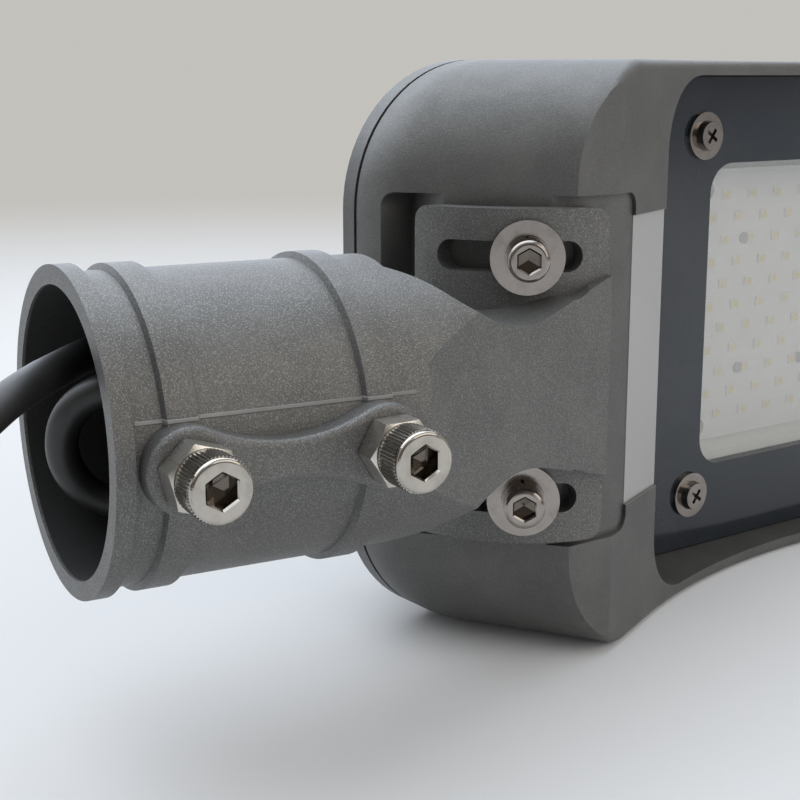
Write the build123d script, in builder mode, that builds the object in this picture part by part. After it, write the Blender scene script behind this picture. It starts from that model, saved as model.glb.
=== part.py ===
from math import cos, radians, sin, sqrt, tan
import os

from build123d import *

os.makedirs("parts", exist_ok=True)

# Head casting, seen from the tilt axis (x towards the front, y towards the cover)
half_width = 76.5
rear_setback = 40.5
front_reach = 264.0
seam_level = 17.0
facet_level = 8.0
nose_level = -32.5
nose_back = -10.0
nose_front = 5.0
ramp_end = (32.0, -20.5)
crest_x = 121.0
crest_level = -1.5
seam_corner = 38.0
nose_corner = 30.0
rim_round = 2.5
facet_round = 20.0
wall = 4.0
cover_height = 36.0
cover_lip = 5.0
cover_rear_inset = 34.0
cover_front_inset = 12.0
cover_side_inset = 22.0
cover_top_corner = 24.0
gasket_thick = 1.2

# Pivot boss and pocket
boss_radius = 30.7
boss_bore = 26.7
boss_roof = 8.0
pocket_half = 44.0
pocket_right = 13.5
pocket_corner = 4.0
pivot_angle = 52.0
pivot_z = 30.0
tilt_rest = 7.2
tilt_travel = 20.0

# Light panel
recess_left = 34.0
recess_right = front_reach - wall
recess_half = half_width - wall
recess_corner = 20.0
recess_front_corner = 34.5
frame_face = 9.5
frame_thick = 3.0
window_left = 83.0
window_right = front_reach - 24.0
window_half = 46.7
window_corner = 9.0
glass_thick = 4.0
seal_thick = 1.5
ceiling_level = 26.0
board_thick = 1.6
panel_screw_x = (79.0, front_reach - 20.0)
panel_screw_z = 55.0

# Bracket, seen from the tilt axis along the tube
tube_drop = 30.9
mouth_reach = 133.2
tube_radius = 33.2
flange_radius = 35.0
collar_radius = 34.6
bore_radius = 30.9
bore_depth = 66.0
shoe_inner = 31.0
shoe_outer = 37.0
shoe_half = 41.5
shoe_half_span = 40.0
shoe_corner = 4.0
washer_radius = 9.0
slot_half_span = 29.0
slot_width = 7.5
wire_hole = 6.0
clamp_s = (14.0, 56.3)
clamp_drop = 1.3
boss_face = 38.5
clamp_boss = 9.0
clamp_waist = 4.1
nut_height = 6.5
nut_flats = 13.0
head_under = 45.2
head_face = 53.2
head_radius = 6.7
lead_radius = 3.65

# Frame origin at the bottom centre of the box round the rigid pieces
turn = radians(tilt_rest)
mouth_x = -mouth_reach * cos(turn) - tube_drop * sin(turn)
low_x = mouth_x - flange_radius * sin(turn)
far_run = mouth_reach - clamp_s[1]
low_y = far_run * sin(turn) - (tube_drop + head_face) * cos(turn) - 6.5 * sin(turn)
axis_x = -(low_x + front_reach) / 2
axis_y = -(low_y + seam_level + gasket_thick + cover_height) / 2
axis_z = half_width


def level(height):
    return Plane(origin=(axis_x, axis_y + height, axis_z), x_dir=(1, 0, 0), z_dir=(0, 1, 0))


middle = Plane(origin=(axis_x, axis_y, axis_z), x_dir=(1, 0, 0), z_dir=(0, 0, 1))
arm = Plane(origin=(axis_x, axis_y, axis_z), x_dir=(cos(turn), -sin(turn), 0), z_dir=(0, 0, 1))
tilt_axis = Axis((axis_x, axis_y, axis_z), (0, 0, 1))
tube_axis = Axis(arm.from_local_coords((0, -tube_drop, 0)), arm.x_dir)


def radial(base, angle, reach, height):
    lean = radians(angle)
    out = base.x_dir * -cos(lean) + base.y_dir * -sin(lean)
    start = Vector(base.origin) + out * reach + Vector(0, 0, height)
    return Plane(origin=start, x_dir=(0, 0, 1), z_dir=out)


def fan(base, angle):
    lean = radians(angle)
    out = base.x_dir * -cos(lean) + base.y_dir * -sin(lean)
    return Plane(origin=base.origin, x_dir=out, z_dir=out.cross(Vector(0, 0, 1)))


def across(run, off=0.0, height=0.0):
    spot = arm.from_local_coords((run - mouth_reach, off - tube_drop, height))
    return Plane(origin=spot, x_dir=(0, 0, 1), z_dir=arm.x_dir)


def clamp(run, reach):
    spot = arm.from_local_coords((run - mouth_reach, -tube_drop - reach, -clamp_drop))
    return Plane(origin=spot, x_dir=(0, 0, 1), z_dir=arm.y_dir * -1)


def tube_spot(run, off, height):
    return arm.from_local_coords((run - mouth_reach, off - tube_drop, height))


def ramp_height(x):
    slope = (ramp_end[1] - nose_level) / (ramp_end[0] - nose_front)
    return nose_level + slope * (x - nose_front)


def panel_outline(margin):
    with BuildSketch() as outline:
        with Locations((recess_middle, 0)):
            Rectangle(recess_length - 2 * margin, 2 * (recess_half - margin))
        fillet(outline.vertices().group_by(Axis.X)[0], recess_corner - margin)
        fillet(outline.vertices().group_by(Axis.X)[-1], recess_front_corner - margin)
    return outline.sketch


def bends(spots):
    radii = []
    for before, here, after in zip(spots, spots[1:], spots[2:]):
        first, second = here - before, after - here
        half = radians(first.get_angle(second)) / 2
        radii.append(0.45 * min(first.length, second.length) / tan(half))
    return radii


head_length = rear_setback + front_reach
head_middle = (front_reach - rear_setback) / 2
nose_length = front_reach - nose_back
nose_middle = (front_reach + nose_back) / 2
recess_length = recess_right - recess_left
recess_middle = (recess_right + recess_left) / 2
window_length = window_right - window_left
window_middle = (window_right + window_left) / 2
frame_back = frame_face + frame_thick
glass_back = frame_back + glass_thick
ledge_level = glass_back + seal_thick
seat_margin = 4.2
light_margin = 1.8
deck_top = ceiling_level + wall
cover_base = seam_level + gasket_thick
cover_top = cover_base + cover_height
tray_level = boss_roof + wall
neck_root = bore_depth - mouth_reach - 1.8
cover_screw_spots = [
    (-14, half_width - 16.5),
    (-14, 16.5 - half_width),
    (78, half_width - 10.5),
    (78, 10.5 - half_width),
    (front_reach - 10, 30),
    (front_reach - 10, -30),
]

# Room round the boss, with rounded corners
pocket_reach = 70.0
with BuildPart() as pocket:
    with BuildSketch(level(-pocket_reach)):
        with Locations(((pocket_right - pocket_reach) / 2, 0)):
            RectangleRounded(pocket_right + pocket_reach, 2 * pocket_half, pocket_corner)
    extrude(amount=pocket_reach + facet_level)
    fillet(pocket.faces().sort_by(Axis.Y)[-1].edges(), pocket_corner - 0.5)
    with BuildSketch(middle):
        Circle(boss_radius)
    extrude(amount=pocket_half + 5, both=True, mode=Mode.SUBTRACT)
print("pocket", round(pocket.part.volume), len(pocket.part.solids()))

# Housing
with BuildPart() as housing:
    with BuildSketch(level(facet_level)):
        with Locations((head_middle, 0)):
            RectangleRounded(head_length, 2 * half_width, seam_corner)
    extrude(amount=seam_level - facet_level)
    with BuildSketch(level(nose_level)):
        with Locations((nose_middle, 0)):
            RectangleRounded(nose_length, 2 * half_width, nose_corner)
    with BuildSketch(level(facet_level)):
        with Locations((head_middle, 0)):
            RectangleRounded(head_length, 2 * half_width, seam_corner)
    loft(ruled=True)
    with BuildSketch(middle):
        with BuildLine():
            Line((nose_front, nose_level), ramp_end)
            TangentArc((crest_x, crest_level), ramp_end, tangent=(-1, 0))
            Line((crest_x, crest_level), (front_reach + 10, crest_level))
            Line((front_reach + 10, crest_level), (front_reach + 10, nose_level - 20))
            Line((front_reach + 10, nose_level - 20), (nose_front, nose_level - 20))
            Line((nose_front, nose_level - 20), (nose_front, nose_level))
        make_face()
    extrude(amount=half_width + 10, both=True, mode=Mode.SUBTRACT)
    rim_edges = []
    for edge in housing.edges():
        spot = edge.center() - middle.origin
        if abs(abs(spot.Z) - half_width) < 0.1 and spot.Y < crest_level + 0.1 and spot.X > nose_front + 10:
            rim_edges.append(edge)
    fillet(rim_edges, rim_round)
    facet_edges = []
    for edge in housing.edges():
        spot = edge.center() - middle.origin
        if abs(spot.Y - facet_level) < 0.1 and spot.X < 0:
            facet_edges.append(edge)
    fillet(facet_edges, facet_round)
    # Panel recess, glass seat, deck box and light cavity
    with BuildSketch(level(nose_level - 5)):
        add(panel_outline(0))
    extrude(amount=frame_back - nose_level + 5, mode=Mode.SUBTRACT)
    with BuildSketch(level(seam_level)):
        with Locations((window_middle, 0)):
            RectangleRounded(window_length + 2 * wall + 5, 2 * window_half + 2 * wall + 5, window_corner)
    extrude(amount=deck_top - seam_level)
    with BuildSketch(level(frame_back)):
        with Locations((window_middle, 0)):
            RectangleRounded(window_length + 2 * seat_margin, 2 * (window_half + seat_margin), window_corner)
    extrude(amount=ledge_level - frame_back, mode=Mode.SUBTRACT)
    with BuildSketch(level(ledge_level)):
        with Locations((window_middle, 0)):
            RectangleRounded(window_length + 2 * light_margin, 2 * (window_half + light_margin), window_corner)
    extrude(amount=ceiling_level - ledge_level, mode=Mode.SUBTRACT)
    # Compartment tray above the boss and the two side hollows
    with BuildSketch(level(tray_level)):
        with Locations(((recess_left - rear_setback) / 2, 0)):
            RectangleRounded(recess_left + rear_setback - 2 * wall, 2 * (half_width - 8), seam_corner - 8)
    extrude(amount=seam_level - tray_level, mode=Mode.SUBTRACT)
    for side in (-1, 1):
        with BuildSketch(middle.offset(side * 57.5)):
            Polygon((-22, tray_level), (-22, 9), (4, -24), (28, -14), (28, tray_level), align=None)
        extrude(amount=8.5, both=True, mode=Mode.SUBTRACT)
    # Pocket round the boss, the boss's own hollow and the slot for the lead
    add(pocket.part, mode=Mode.SUBTRACT)
    with BuildSketch(middle):
        Circle(boss_bore)
        with Locations((0, boss_roof + 30)):
            Rectangle(80, 60, mode=Mode.SUBTRACT)
    extrude(amount=pocket_half - wall, both=True, mode=Mode.SUBTRACT)
    for side in (-1, 1):
        with BuildSketch(radial(middle, pivot_angle, 17, side * pivot_z)):
            Circle(7)
        extrude(amount=boss_bore - 16)
    for side in (-1, 1):
        with BuildSketch(radial(middle, pivot_angle, 15, side * pivot_z)):
            Circle(3.05)
        extrude(amount=20, mode=Mode.SUBTRACT)
    with BuildSketch(fan(middle, pivot_angle - 31)):
        with Locations((boss_radius - 2, 0)):
            Rectangle(9, 15)
    revolve(axis=tilt_axis, revolution_arc=62, mode=Mode.SUBTRACT)
    # Machined relief on the ramp, gland hole, panel screw holes
    with BuildSketch(middle):
        Polygon(
            (pocket_right - 0.1, ramp_height(pocket_right) + 0.9),
            (recess_left + 0.1, ramp_height(recess_left) + 0.9),
            (recess_left + 0.1, nose_level - 10),
            (pocket_right - 0.1, nose_level - 10),
            align=None,
        )
    extrude(amount=38, both=True, mode=Mode.SUBTRACT)
    with BuildSketch(level(boss_roof - 1)):
        with Locations((12, 0)):
            Circle(8.05)
    extrude(amount=wall + 2, mode=Mode.SUBTRACT)
    with BuildSketch(level(frame_back)):
        with Locations(*[(x, side * panel_screw_z) for x in panel_screw_x for side in (-1, 1)]):
            Circle(2.05)
    extrude(amount=9, mode=Mode.SUBTRACT)
    with BuildSketch(level(-8)):
        with Locations(*cover_screw_spots[:2]):
            Circle(6.5)
    extrude(amount=seam_level + 8)
    with BuildSketch(level(seam_level)):
        with Locations(*cover_screw_spots):
            Circle(2.05)
    extrude(amount=-4.0, mode=Mode.SUBTRACT)
housing.part.label = "housing"
export_step(housing.part, "parts/housing.step")
print("housing", housing.part.volume, len(housing.part.solids()), housing.part.bounding_box())

slot_sweep = slot_half_span - slot_width / 2 / 34.0 * 57.2958
board_hole_x = window_length / 2 - 10
board_hole_z = window_half - 9
led_columns, led_rows = 8, 5
led_pitch_x, led_pitch_z = 17.0, 15.0
arm_out = Axis(arm.origin, arm.y_dir * -1)
wire_plane = Plane(
    origin=arm.from_local_coords((-72, -40.7, 0)), x_dir=(0, 0, 1), z_dir=arm.x_dir * 0.944 + arm.y_dir * 0.330
)

# Neck between the tube and the shoe
with BuildPart() as neck:
    with BuildSketch(arm):
        Polygon((neck_root, -63.2), (1.5, -38.3), (1.5, -20), (-20, -6), (-36, -9.5), (neck_root, -1.0), align=None)
        Circle(shoe_inner + 3, mode=Mode.SUBTRACT)
    extrude(amount=40, both=True)
    with BuildSketch(Plane(origin=arm.origin, x_dir=arm.x_dir, z_dir=arm.y_dir)):
        with BuildLine():
            Spline((neck_root - 1, tube_radius), (-50, 24.0), (-32, 16.9), (-18, 19.34), tangents=((1, -0.2), (1, 0.295)))
            Line((-18, 19.34), (2.5, 25.4))
            Line((2.5, 25.4), (2.5, -25.4))
            Line((2.5, -25.4), (-18, -19.34))
            Spline((-18, -19.34), (-32, -16.9), (-50, -24.0), (neck_root - 1, -tube_radius), tangents=((-1, 0.295), (-1, -0.2)))
            Line((neck_root - 1, -tube_radius), (neck_root - 1, tube_radius))
        make_face()
    extrude(amount=90, both=True, mode=Mode.INTERSECT)
    with BuildSketch(across(bore_depth - 4)):
        Circle(tube_radius - 0.2)
    extrude(amount=90, mode=Mode.INTERSECT)
print("neck", round(neck.part.volume), len(neck.part.solids()), neck.part.bounding_box())

# Pad under the clamp screws, waisted between its two bosses
clamp_middle = (clamp_s[0] + clamp_s[1]) / 2
clamp_half = (clamp_s[1] - clamp_s[0]) / 2
waist_radius = (clamp_half**2 + clamp_waist**2 - clamp_boss**2) / (2 * (clamp_boss - clamp_waist))
waist_share = clamp_boss / (clamp_boss + waist_radius)
with BuildPart() as pad:
    with BuildSketch(clamp(clamp_middle, 24)):
        Rectangle(2 * waist_share * (waist_radius + clamp_waist), 2 * clamp_half * (1 - waist_share))
        with Locations((waist_radius + clamp_waist, 0), (-waist_radius - clamp_waist, 0)):
            Circle(waist_radius, mode=Mode.SUBTRACT)
        with Locations((0, clamp_half), (0, -clamp_half)):
            Circle(clamp_boss)
    extrude(amount=boss_face - 24)
    fillet(pad.faces().sort_by(arm_out)[-1].edges(), 1.6)
print("pad", round(pad.part.volume), len(pad.part.solids()))

# Bracket
with BuildPart() as bracket:
    with BuildSketch(arm):
        with BuildLine():
            base = -tube_drop
            Polyline(
                (-mouth_reach, base),
                (-mouth_reach, base + flange_radius),
                (-mouth_reach + 4.0, base + flange_radius),
                (-mouth_reach + 4.6, base + tube_radius),
                (-mouth_reach + 10.3, base + tube_radius),
                (-mouth_reach + 10.9, base + collar_radius),
                (-mouth_reach + 17.2, base + collar_radius),
                (-mouth_reach + 17.8, base + tube_radius),
                (-mouth_reach + 53.3, base + tube_radius),
                (-mouth_reach + 53.9, base + collar_radius),
                (-mouth_reach + 59.6, base + collar_radius),
                (-mouth_reach + 60.2, base + tube_radius),
                (-mouth_reach + bore_depth + 4, base + tube_radius),
                (-mouth_reach + bore_depth + 4, base),
                (-mouth_reach, base),
            )
        make_face()
    revolve(axis=tube_axis)
    add(pad.part)
    add(neck.part)
    with BuildSketch(fan(arm, pivot_angle - shoe_half_span)):
        with Locations(((shoe_inner + shoe_outer) / 2, 0)):
            Rectangle(shoe_outer - shoe_inner, 2 * shoe_half)
    revolve(axis=tilt_axis, revolution_arc=2 * shoe_half_span)
    for end in (-1, 1):
        for side in (-1, 1):
            with BuildSketch(radial(arm, pivot_angle + end * shoe_half_span, shoe_inner - 3, side * shoe_half)):
                Rectangle(2 * shoe_corner, 2 * shoe_corner)
                with Locations((-side * shoe_corner, end * shoe_corner)):
                    Circle(shoe_corner, mode=Mode.SUBTRACT)
            extrude(amount=shoe_outer - shoe_inner + 8, mode=Mode.SUBTRACT)
    # Room for the washers where the tilt ends
    for side in (-1, 1):
        with BuildSketch(radial(arm, pivot_angle + tilt_travel, shoe_outer + 0.05, side * pivot_z)):
            Circle(washer_radius + 0.5)
        extrude(amount=8, mode=Mode.SUBTRACT)
    # Socket bore, slots, hole for the lead, clamp holes
    with BuildSketch(across(0)):
        Circle(bore_radius)
    extrude(amount=bore_depth, mode=Mode.SUBTRACT)
    for side in (-1, 1):
        with BuildSketch(fan(arm, pivot_angle - slot_sweep)):
            with Locations(((shoe_inner + shoe_outer) / 2, side * pivot_z)):
                Rectangle(shoe_outer - shoe_inner + 4, slot_width)
        revolve(axis=tilt_axis, revolution_arc=2 * slot_sweep, mode=Mode.SUBTRACT)
        for end in (-1, 1):
            with BuildSketch(radial(arm, pivot_angle + end * slot_sweep, shoe_inner - 2, side * pivot_z)):
                Circle(slot_width / 2)
            extrude(amount=shoe_outer - shoe_inner + 4, mode=Mode.SUBTRACT)
    with BuildSketch(wire_plane):
        Circle(wire_hole)
    extrude(amount=62, mode=Mode.SUBTRACT)
    with BuildSketch(clamp(0, 20)):
        with Locations(*[(0, -run) for run in clamp_s]):
            Circle(4.05)
    extrude(amount=25, mode=Mode.SUBTRACT)
bracket.part.label = "bracket"
export_step(bracket.part, "parts/bracket.step")
print("bracket", round(bracket.part.volume), len(bracket.part.solids()), bracket.part.bounding_box())

# Clamp screws and lock nuts
for name, run in (("near", clamp_s[0]), ("far", clamp_s[1])):
    with BuildPart() as screw:
        with BuildSketch(clamp(run, sqrt(bore_radius**2 - (clamp_drop + 4) ** 2) + 0.2)):
            Circle(4.0)
        extrude(amount=head_under - sqrt(bore_radius**2 - (clamp_drop + 4) ** 2) - 0.2)
        with BuildSketch(clamp(run, head_under)):
            Circle(head_radius)
        extrude(amount=head_face - head_under)
        chamfer(screw.faces().sort_by(arm_out)[-1].edges(), 0.6)
        with BuildSketch(clamp(run, head_face - 4.5)):
            RegularPolygon(6.0 / sqrt(3), 6)
        extrude(amount=5, mode=Mode.SUBTRACT)
    screw.part.label = "clamp_screw_" + name
    export_step(screw.part, "parts/clamp_screw_" + name + ".step")
    with BuildPart() as nut:
        with BuildSketch(clamp(run, boss_face + 0.1)):
            RegularPolygon(nut_flats / sqrt(3), 6)
            Circle(4.05, mode=Mode.SUBTRACT)
        extrude(amount=nut_height - 0.1)
    nut.part.label = "lock_nut_" + name
    export_step(nut.part, "parts/lock_nut_" + name + ".step")

# Pivot screws with their washers
with BuildPart() as pivot_screws:
    for side in (-1, 1):
        with BuildSketch(radial(middle, pivot_angle, 18, side * pivot_z)):
            Circle(3.0)
        extrude(amount=shoe_outer + 3.4 - 18)
        with BuildSketch(radial(middle, pivot_angle, shoe_outer + 3.4, side * pivot_z)):
            Circle(5.0)
        extrude(amount=6.0)
        with BuildSketch(radial(middle, pivot_angle, shoe_outer + 6.2, side * pivot_z)):
            RegularPolygon(5.0 / sqrt(3), 6)
        extrude(amount=4, mode=Mode.SUBTRACT)
pivot_screws.part.label = "pivot_screws"
export_step(pivot_screws.part, "parts/pivot_screws.step")
with BuildPart() as pivot_washers:
    for side in (-1, 1):
        with BuildSketch(radial(middle, pivot_angle, shoe_outer + 0.15, side * pivot_z)):
            Circle(washer_radius)
            Circle(3.1, mode=Mode.SUBTRACT)
        extrude(amount=1.6)
pivot_washers.part.label = "pivot_washers"
export_step(pivot_washers.part, "parts/pivot_washers.step")
with BuildPart() as pivot_spring_washers:
    for side in (-1, 1):
        with BuildSketch(radial(middle, pivot_angle, shoe_outer + 1.77, side * pivot_z)):
            Circle(5.4)
            Circle(3.1, mode=Mode.SUBTRACT)
            with Locations((4.3, 0)):
                Rectangle(4, 0.8, rotation=20, mode=Mode.SUBTRACT)
        extrude(amount=1.6)
pivot_spring_washers.part.label = "pivot_spring_washers"
export_step(pivot_spring_washers.part, "parts/pivot_spring_washers.step")

# Light panel from the outside inwards
with BuildPart() as panel_frame:
    with BuildSketch(level(frame_face)):
        add(panel_outline(0.4))
        with Locations((window_middle, 0)):
            RectangleRounded(window_length, 2 * window_half, window_corner, mode=Mode.SUBTRACT)
        with Locations(*[(x, side * panel_screw_z) for x in panel_screw_x for side in (-1, 1)]):
            Circle(2.2, mode=Mode.SUBTRACT)
    extrude(amount=frame_thick - 0.05)
panel_frame.part.label = "panel_frame"
export_step(panel_frame.part, "parts/panel_frame.step")
with BuildPart() as window_glass:
    with BuildSketch(level(frame_back)):
        with Locations((window_middle, 0)):
            RectangleRounded(
                window_length + 2 * seat_margin - 0.6, 2 * (window_half + seat_margin) - 0.6, window_corner - 0.3
            )
    extrude(amount=glass_thick)
window_glass.part.label = "window_glass"
export_step(window_glass.part, "parts/window_glass.step")
with BuildPart() as panel_gasket:
    with BuildSketch(level(glass_back + 0.02)):
        with Locations((window_middle, 0)):
            RectangleRounded(
                window_length + 2 * seat_margin - 0.6, 2 * (window_half + seat_margin) - 0.6, window_corner - 0.3
            )
            RectangleRounded(
                window_length + 2 * light_margin, 2 * (window_half + light_margin), window_corner, mode=Mode.SUBTRACT
            )
    extrude(amount=seal_thick - 0.04)
panel_gasket.part.label = "panel_gasket"
export_step(panel_gasket.part, "parts/panel_gasket.step")
with BuildPart() as panel_screws:
    for x in panel_screw_x:
        for side in (-1, 1):
            with BuildSketch(level(frame_face - 0.02)):
                with Locations((x, side * panel_screw_z)):
                    Circle(7.0)
            extrude(amount=-1.2)
            with BuildSketch(level(frame_face - 0.02)):
                with Locations((x, side * panel_screw_z)):
                    Circle(4.8)
            extrude(amount=-3.4, taper=12)
            with BuildSketch(level(frame_face - 0.02)):
                with Locations((x, side * panel_screw_z)):
                    Circle(2.0)
            extrude(amount=7.1)
            with BuildSketch(level(frame_face - 3.42)):
                with Locations((x, side * panel_screw_z)):
                    Rectangle(4.8, 1.1, rotation=35)
                    Rectangle(1.1, 4.8, rotation=35)
            extrude(amount=1.6, mode=Mode.SUBTRACT)
panel_screws.part.label = "panel_screws"
export_step(panel_screws.part, "parts/panel_screws.step")

# Light source on the ceiling of the cavity
board_face = ceiling_level - board_thick
with BuildPart() as led_board:
    with BuildSketch(level(board_face)):
        with Locations((window_middle, 0)):
            Rectangle(window_length - 6, 2 * window_half - 6)
        with Locations(*[(window_middle + a * board_hole_x, b * board_hole_z) for a in (-1, 1) for b in (-1, 1)]):
            Circle(1.7, mode=Mode.SUBTRACT)
    extrude(amount=board_thick - 0.02)
led_board.part.label = "led_board"
export_step(led_board.part, "parts/led_board.step")
with BuildPart() as led_chips:
    with BuildSketch(level(board_face)):
        with Locations((window_middle, 0)):
            with GridLocations(led_pitch_x, led_pitch_z, led_columns, led_rows):
                Rectangle(3.0, 3.0)
    extrude(amount=-0.8)
led_chips.part.label = "led_chips"
export_step(led_chips.part, "parts/led_chips.step")
lens_back = board_face - 1.2
with BuildPart() as lens_plate:
    with BuildSketch(level(lens_back)):
        with Locations((window_middle, 0)):
            RectangleRounded(window_length - 8, 2 * window_half - 8, 4)
        with Locations(*[(window_middle + a * board_hole_x, b * board_hole_z) for a in (-1, 1) for b in (-1, 1)]):
            Circle(1.7, mode=Mode.SUBTRACT)
    extrude(amount=-2.0)
lens_plate.part.label = "lens_plate"
export_step(lens_plate.part, "parts/lens_plate.step")
with BuildPart() as board_screws:
    for a in (-1, 1):
        for b in (-1, 1):
            with BuildSketch(level(lens_back - 2.02)):
                with Locations((window_middle + a * board_hole_x, b * board_hole_z)):
                    Circle(2.8)
            extrude(amount=-1.6)
            with BuildSketch(level(lens_back - 2.02)):
                with Locations((window_middle + a * board_hole_x, b * board_hole_z)):
                    Circle(1.5)
            extrude(amount=ceiling_level - lens_back + 2.0)
board_screws.part.label = "board_screws"
export_step(board_screws.part, "parts/board_screws.step")

# Top cover with its seal and screws
cavity_height = cover_height - 12
cavity_rear = wall - rear_setback
cavity_front = 130.0
cavity_top_rear = cavity_rear + 1 + cover_rear_inset * (cavity_height - cover_lip) / (cover_height - cover_lip)
cavity_top_front = 100.0
cavity_top_half = half_width - wall - 1 - cover_side_inset * (cavity_height - cover_lip) / (cover_height - cover_lip)
with BuildPart() as cover_form:
    with BuildSketch(level(cover_base)):
        with Locations((head_middle, 0)):
            RectangleRounded(head_length, 2 * half_width, seam_corner)
    extrude(amount=cover_lip)
    with BuildSketch(level(cover_base + cover_lip)):
        with Locations((head_middle, 0)):
            RectangleRounded(head_length, 2 * half_width, seam_corner)
    with BuildSketch(level(cover_top)):
        with Locations((head_middle + (cover_rear_inset - cover_front_inset) / 2, 0)):
            RectangleRounded(
                head_length - cover_rear_inset - cover_front_inset, 2 * (half_width - cover_side_inset), cover_top_corner
            )
    loft(ruled=True)
    fillet(cover_form.faces().sort_by(Axis.Y)[-1].edges(), 8)
with BuildPart() as top_cover:
    add(cover_form.part)
    with BuildSketch(level(cover_base)):
        with Locations(((cavity_front + cavity_rear) / 2, 0)):
            RectangleRounded(cavity_front - cavity_rear, 2 * (half_width - wall), seam_corner - wall)
    with BuildSketch(level(cover_base + cavity_height)):
        with Locations(((cavity_top_front + cavity_top_rear) / 2, 0)):
            RectangleRounded(cavity_top_front - cavity_top_rear, 2 * cavity_top_half, cover_top_corner)
    loft(ruled=True, mode=Mode.SUBTRACT)
    with BuildSketch(level(cover_base)):
        with Locations((window_middle, 0)):
            RectangleRounded(window_length + 16, 2 * window_half + 16, window_corner)
    extrude(amount=deck_top - cover_base + 1.5, mode=Mode.SUBTRACT)
    with BuildSketch(level(cover_base)):
        with Locations(*cover_screw_spots):
            Circle(6.8)
    extrude(amount=cover_height)
    add(cover_form.part, mode=Mode.INTERSECT)
    with BuildSketch(middle):
        with BuildLine():
            Polyline(
                (90, cover_top + 1), (front_reach + 5, cover_top + 1), (front_reach + 5, cover_top - 14), (90, cover_top + 1)
            )
        make_face()
    extrude(amount=half_width + 5, both=True, mode=Mode.SUBTRACT)
    for k in range(9):
        with BuildSketch(middle.offset((k - 4) * 12.0)):
            with BuildLine():
                Polyline(
                    (62, cover_top + 2),
                    (84, cover_top - 9),
                    (front_reach - 20, cover_top - 17),
                    (front_reach + 12, cover_top - 17),
                    (front_reach + 12, cover_top + 2),
                    (62, cover_top + 2),
                )
            make_face()
        extrude(amount=3.2, both=True, mode=Mode.SUBTRACT)
    with BuildSketch(level(cover_top + 1)):
        with Locations(*cover_screw_spots):
            Circle(5.0)
    extrude(amount=-(cover_height - 5), mode=Mode.SUBTRACT)
    with BuildSketch(level(cover_top + 1)):
        with Locations(*cover_screw_spots):
            Circle(2.2)
    extrude(amount=-(cover_height + 3), mode=Mode.SUBTRACT)
top_cover.part.label = "top_cover"
export_step(top_cover.part, "parts/top_cover.step")
print("top_cover", round(top_cover.part.volume), len(top_cover.part.solids()), top_cover.part.bounding_box())

with BuildPart() as cover_gasket:
    with BuildSketch(level(seam_level + 0.02)):
        with Locations((head_middle, 0)):
            RectangleRounded(head_length - 4, 2 * half_width - 4, seam_corner - 2)
            RectangleRounded(head_length - 14, 2 * half_width - 14, seam_corner - 7, mode=Mode.SUBTRACT)
    extrude(amount=gasket_thick - 0.04)
cover_gasket.part.label = "cover_gasket"
export_step(cover_gasket.part, "parts/cover_gasket.step")
seat = cover_top + 1 - (cover_height - 5) + 0.02
with BuildPart() as cover_screws:
    with BuildSketch(level(seat)):
        with Locations(*cover_screw_spots):
            Circle(4.0)
    extrude(amount=4.0)
    with BuildSketch(level(seat + 1.8)):
        with Locations(*cover_screw_spots):
            RegularPolygon(2.0, 6)
    extrude(amount=3, mode=Mode.SUBTRACT)
    with BuildSketch(level(seat)):
        with Locations(*cover_screw_spots):
            Circle(2.0)
    extrude(amount=-(seat - seam_level + 3.6))
cover_screws.part.label = "cover_screws"
export_step(cover_screws.part, "parts/cover_screws.step")

# Electrics in the rear compartment
driver_x = 52.0
with BuildPart() as driver:
    with BuildSketch(level(seam_level + 0.02)):
        with Locations((driver_x, 0)):
            Rectangle(38, 104)
    extrude(amount=23)
    with BuildSketch(level(seam_level + 0.02)):
        with Locations((driver_x, 0)):
            Rectangle(30, 124)
        with Locations((driver_x, 57), (driver_x, -57)):
            Circle(2.2, mode=Mode.SUBTRACT)
    extrude(amount=1.6)
driver.part.label = "driver"
export_step(driver.part, "parts/driver.step")
with BuildPart() as driver_screws:
    with BuildSketch(level(seam_level + 1.66)):
        with Locations((driver_x, 57), (driver_x, -57)):
            Circle(3.6)
    extrude(amount=2.2)
    with BuildSketch(level(seam_level + 1.66)):
        with Locations((driver_x, 57), (driver_x, -57)):
            Circle(2.0)
    extrude(amount=-1.6)
driver_screws.part.label = "driver_screws"
export_step(driver_screws.part, "parts/driver_screws.step")
with BuildPart() as terminal_block:
    with BuildSketch(level(tray_level + 0.02)):
        with Locations((-17, -24)):
            Rectangle(18, 32)
    extrude(amount=13)
    with BuildSketch(level(tray_level + 6)):
        with Locations((-17, -34), (-17, -24), (-17, -14)):
            Circle(2.6)
    extrude(amount=12, mode=Mode.SUBTRACT)
terminal_block.part.label = "terminal_block"
export_step(terminal_block.part, "parts/terminal_block.step")
with BuildPart() as surge_protector:
    with BuildSketch(level(tray_level + 0.02)):
        with Locations((-17, 26)):
            RectangleRounded(22, 34, 3)
    extrude(amount=14)
surge_protector.part.label = "surge_protector"
export_step(surge_protector.part, "parts/surge_protector.step")

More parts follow.
